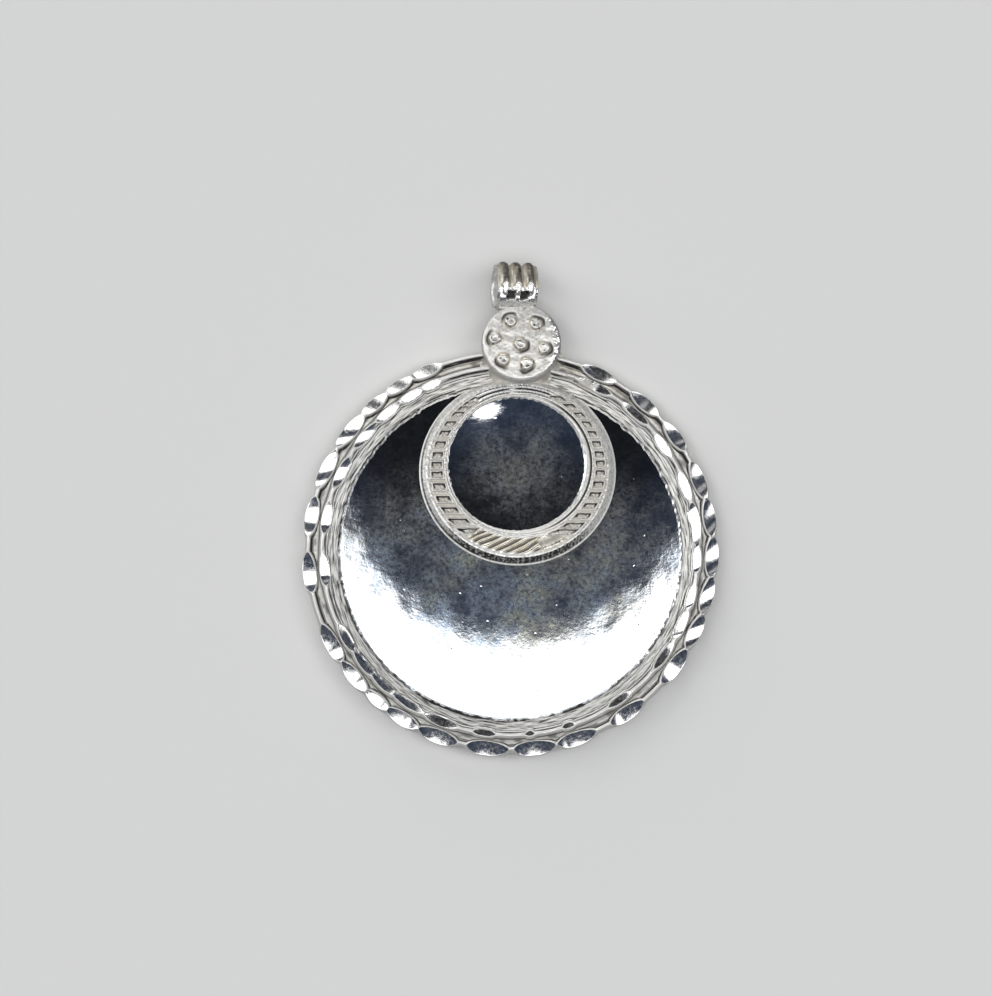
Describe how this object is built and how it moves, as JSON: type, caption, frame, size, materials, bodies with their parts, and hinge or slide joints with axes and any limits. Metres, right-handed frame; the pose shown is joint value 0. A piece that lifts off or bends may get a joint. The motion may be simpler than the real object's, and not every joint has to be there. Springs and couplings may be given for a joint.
{
  "type": "amulet pendant",
  "caption": "Round silver pendant with a domed mirror field, a facetted double rim, a laddered moon ring round a small dished mirror, a knobbed rosette and a ribbed bail.",
  "frame": {"origin": "middle of the bounding box, on the surface that the pendant lies on", "axes": "+Y from the disc towards the bail, +Z out of the face, +X to the right as the face is looked at"},
  "size_m": [0.046, 0.0552, 0.0062],
  "materials": {
    "silver": "cast and bright-cut silver: polished mirrors and facets, frosted grooves, yellowish solder"
  },
  "bodies": {
    "root": {"pendant": "silver"}
  },
  "joints": []
}
